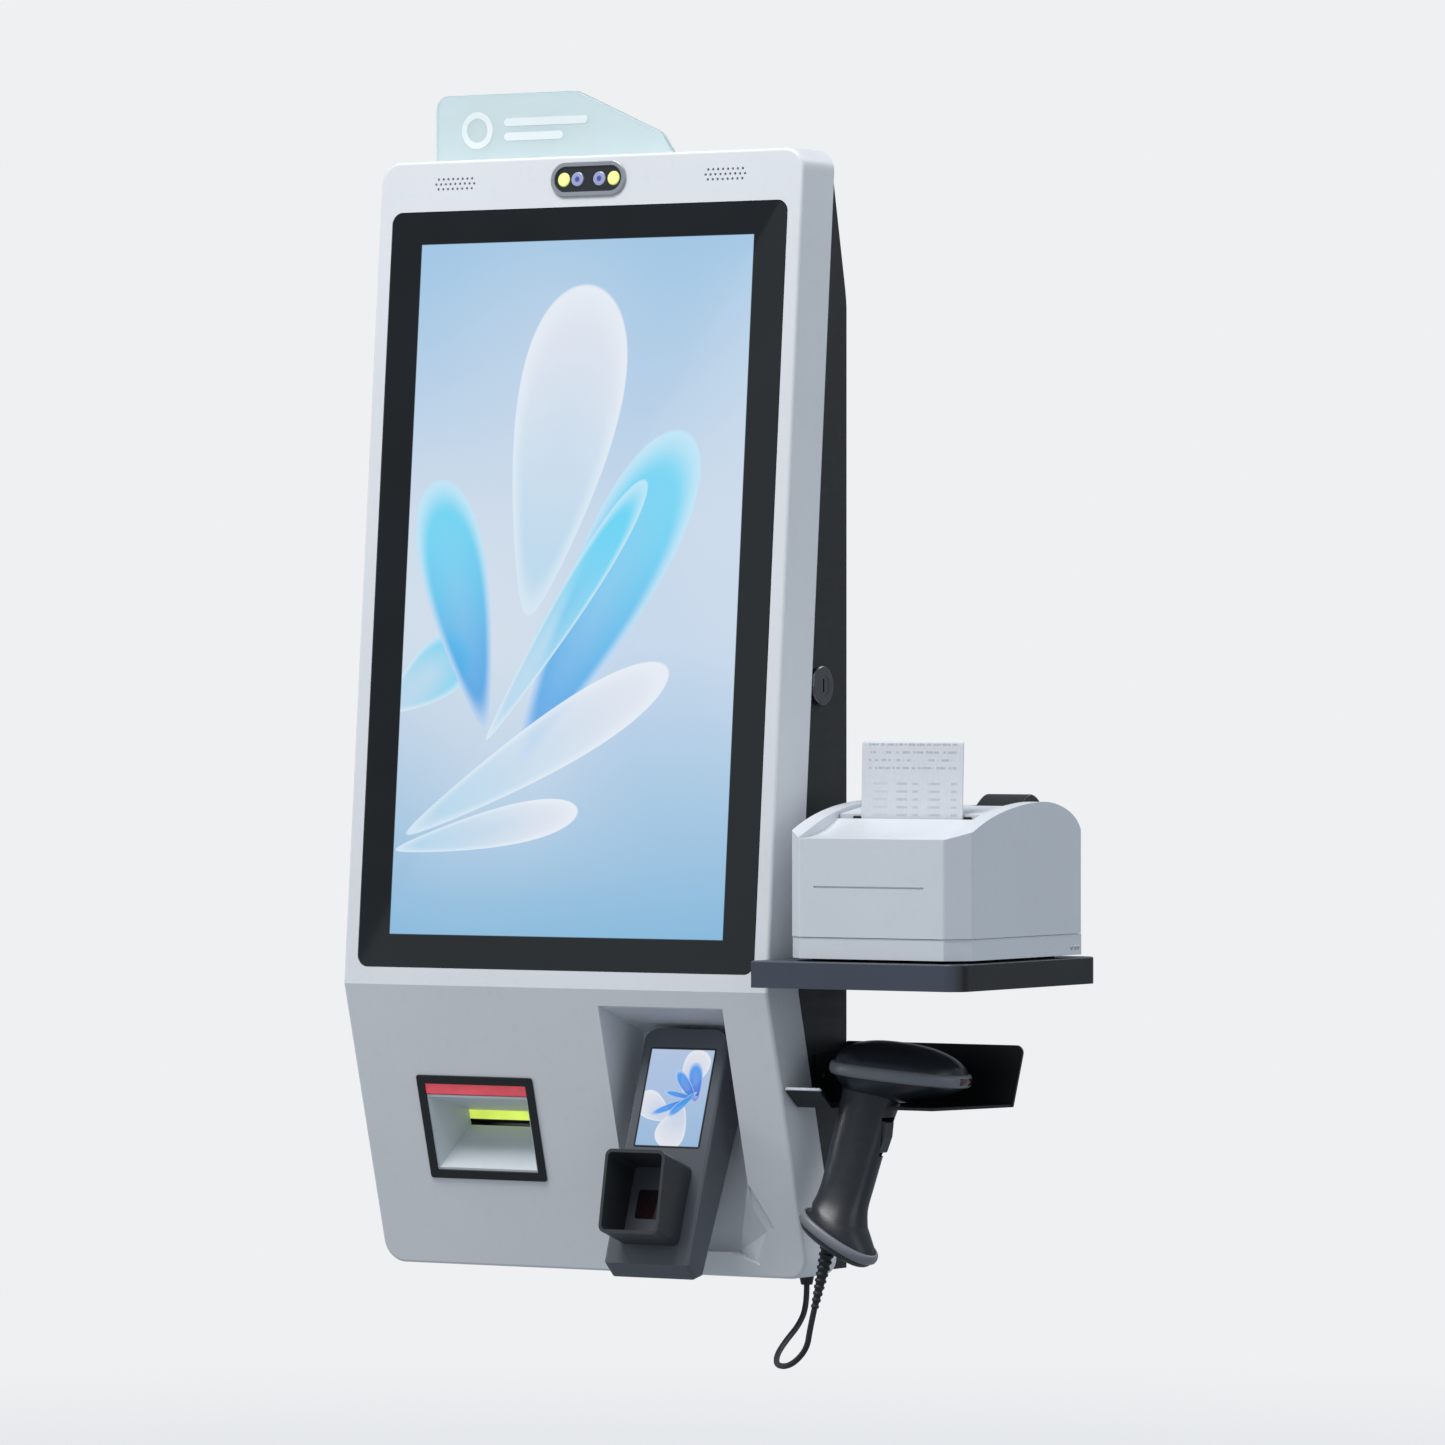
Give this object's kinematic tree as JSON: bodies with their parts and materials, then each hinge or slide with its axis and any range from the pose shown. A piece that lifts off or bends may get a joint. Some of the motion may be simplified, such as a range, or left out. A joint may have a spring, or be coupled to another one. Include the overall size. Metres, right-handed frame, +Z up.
{
  "type": "self checkout kiosk",
  "caption": "Wall-mounted self checkout kiosk with portrait touch screen, camera, receipt outlet, payment terminal, side shelf with receipt printer and handheld scanner in a holder.",
  "frame": {"origin": "centre of the wall bracket's four-hole pattern, on the wall", "axes": "+X to the viewer's right, +Y into the wall, +Z up"},
  "size_m": [0.5085, 0.2101, 0.8663],
  "materials": {
    "silver_shell": "satin",
    "black_powder": "satin",
    "slate_powder": "satin",
    "bracket_steel": "matte",
    "zinc_steel": "satin",
    "lock_metal": "polished",
    "cover_glass": "polished",
    "display": "gloss",
    "camera_black": "gloss",
    "lens_glass": "polished",
    "led_yellow": "gloss",
    "circuit_board": "satin",
    "speaker_black": "matte",
    "acrylic": "polished",
    "bezel_black": "satin",
    "light_red": "gloss",
    "light_yellow": "gloss",
    "chute_white": "satin",
    "roller_rubber": "matte",
    "thermal_paper": "matte",
    "terminal_grey": "satin",
    "hood_black": "matte",
    "terminal_display": "gloss",
    "scan_glass": "polished",
    "printer_white": "satin",
    "lever_black": "satin",
    "scanner_black": "satin",
    "scanner_grey": "satin",
    "cord_black": "matte"
  },
  "bodies": {
    "root": {"rear_housing": "black_powder", "wall_bracket": "bracket_steel", "bracket_screws": "zinc_steel", "side_screws": "zinc_steel", "standoffs": "zinc_steel", "mainboard": "circuit_board", "power_supply": "zinc_steel", "power_inlet": "bezel_black", "cable_gland": "bezel_black", "lock_barrel": "lock_metal", "hinge_leaves_fixed": "black_powder", "hinge_pins": "zinc_steel", "printer_shelf": "slate_powder", "scanner_holder": "black_powder", "printer_feet": "roller_rubber", "printer_base": "printer_white", "printer_cover": "printer_white", "printer_mechanism": "zinc_steel", "receipt_paper": "thermal_paper", "scanner_cord": "cord_black"},
    "door": {"front_shell": "silver_shell", "screen_glass": "cover_glass", "lcd_panel": "display", "lcd_backplate": "zinc_steel", "camera_bezel": "camera_black", "camera_window": "camera_black", "camera_lenses": "lens_glass", "camera_leds": "led_yellow", "camera_board": "circuit_board", "speakers": "speaker_black", "sign_panel": "acrylic", "sign_base": "zinc_steel", "receipt_bezel": "bezel_black", "receipt_light_red": "light_red", "receipt_chute": "chute_white", "receipt_light_yellow": "light_yellow", "receipt_printer_frame": "zinc_steel", "terminal_recess": "silver_shell", "terminal_body": "terminal_grey", "terminal_screen": "terminal_display", "terminal_hood": "hood_black", "terminal_scan_window": "scan_glass", "terminal_bracket": "zinc_steel", "hinge_leaves_door": "black_powder", "lock_strike": "zinc_steel"},
    "outlet_platen": {"receipt_platen": "roller_rubber"},
    "outlet_roll": {"receipt_roll": "thermal_paper"},
    "lock": {"lock_plug": "lock_metal", "lock_cam": "zinc_steel"},
    "printer_lid": {"printer_lid": "printer_white"},
    "lid_lever": {"printer_lever": "lever_black"},
    "lid_platen": {"printer_platen": "roller_rubber"},
    "desk_roll": {"printer_roll": "thermal_paper"},
    "scanner": {"scanner_body": "scanner_black", "scanner_bumper": "scanner_grey", "scanner_window": "scan_glass", "scanner_foot": "scanner_grey", "scanner_strain_relief": "cord_black"},
    "trigger": {"scanner_trigger": "scanner_black"}
  },
  "joints": [
    {"name": "door_hinge", "type": "hinge", "parent": "root", "child": "door", "pos_m": [-0.1737, -0.08, 0], "axis": [0, 0, -1], "range_deg": [0, 100]},
    {"name": "lock_turn", "type": "hinge", "parent": "root", "child": "lock", "pos_m": [0.15, -0.0995, 0.02], "axis": [-1, 0, 0], "range_deg": [0, 90]},
    {"name": "outlet_platen_spin", "type": "hinge", "parent": "door", "child": "outlet_platen", "pos_m": [-0.07415, -0.1015, -0.276], "axis": [1, 0, 0], "continuous": true},
    {"name": "outlet_roll_spin", "type": "hinge", "parent": "door", "child": "outlet_roll", "pos_m": [-0.07415, -0.132, -0.221], "axis": [1, 0, 0], "continuous": true},
    {"name": "printer_lid_hinge", "type": "hinge", "parent": "root", "child": "printer_lid", "pos_m": [0.26185, -0.039, -0.081], "axis": [-1, 0, 0], "range_deg": [0, 75]},
    {"name": "lid_lever_hinge", "type": "hinge", "parent": "printer_lid", "child": "lid_lever", "pos_m": [0.2995, -0.0575, -0.0664], "axis": [-1, 0, 0], "range_deg": [0, 15], "stiffness_Nm_per_rad": 0.4},
    {"name": "lid_platen_spin", "type": "hinge", "parent": "printer_lid", "child": "lid_platen", "pos_m": [0.26185, -0.131, -0.077], "axis": [1, 0, 0], "continuous": true},
    {"name": "desk_roll_spin", "type": "hinge", "parent": "root", "child": "desk_roll", "pos_m": [0.26185, -0.082, -0.109], "axis": [1, 0, 0], "continuous": true},
    {"name": "scanner_pull", "type": "slide", "parent": "root", "child": "scanner", "axis": [0, -1, 0], "range_m": [0, 0.12], "deforming": ["scanner_cord"]},
    {"name": "trigger_pull", "type": "hinge", "parent": "scanner", "child": "trigger", "pos_m": [0.2315, -0.128, -0.2725], "axis": [0, 1, 0], "range_deg": [0, 8], "stiffness_Nm_per_rad": 0.2}
  ]
}
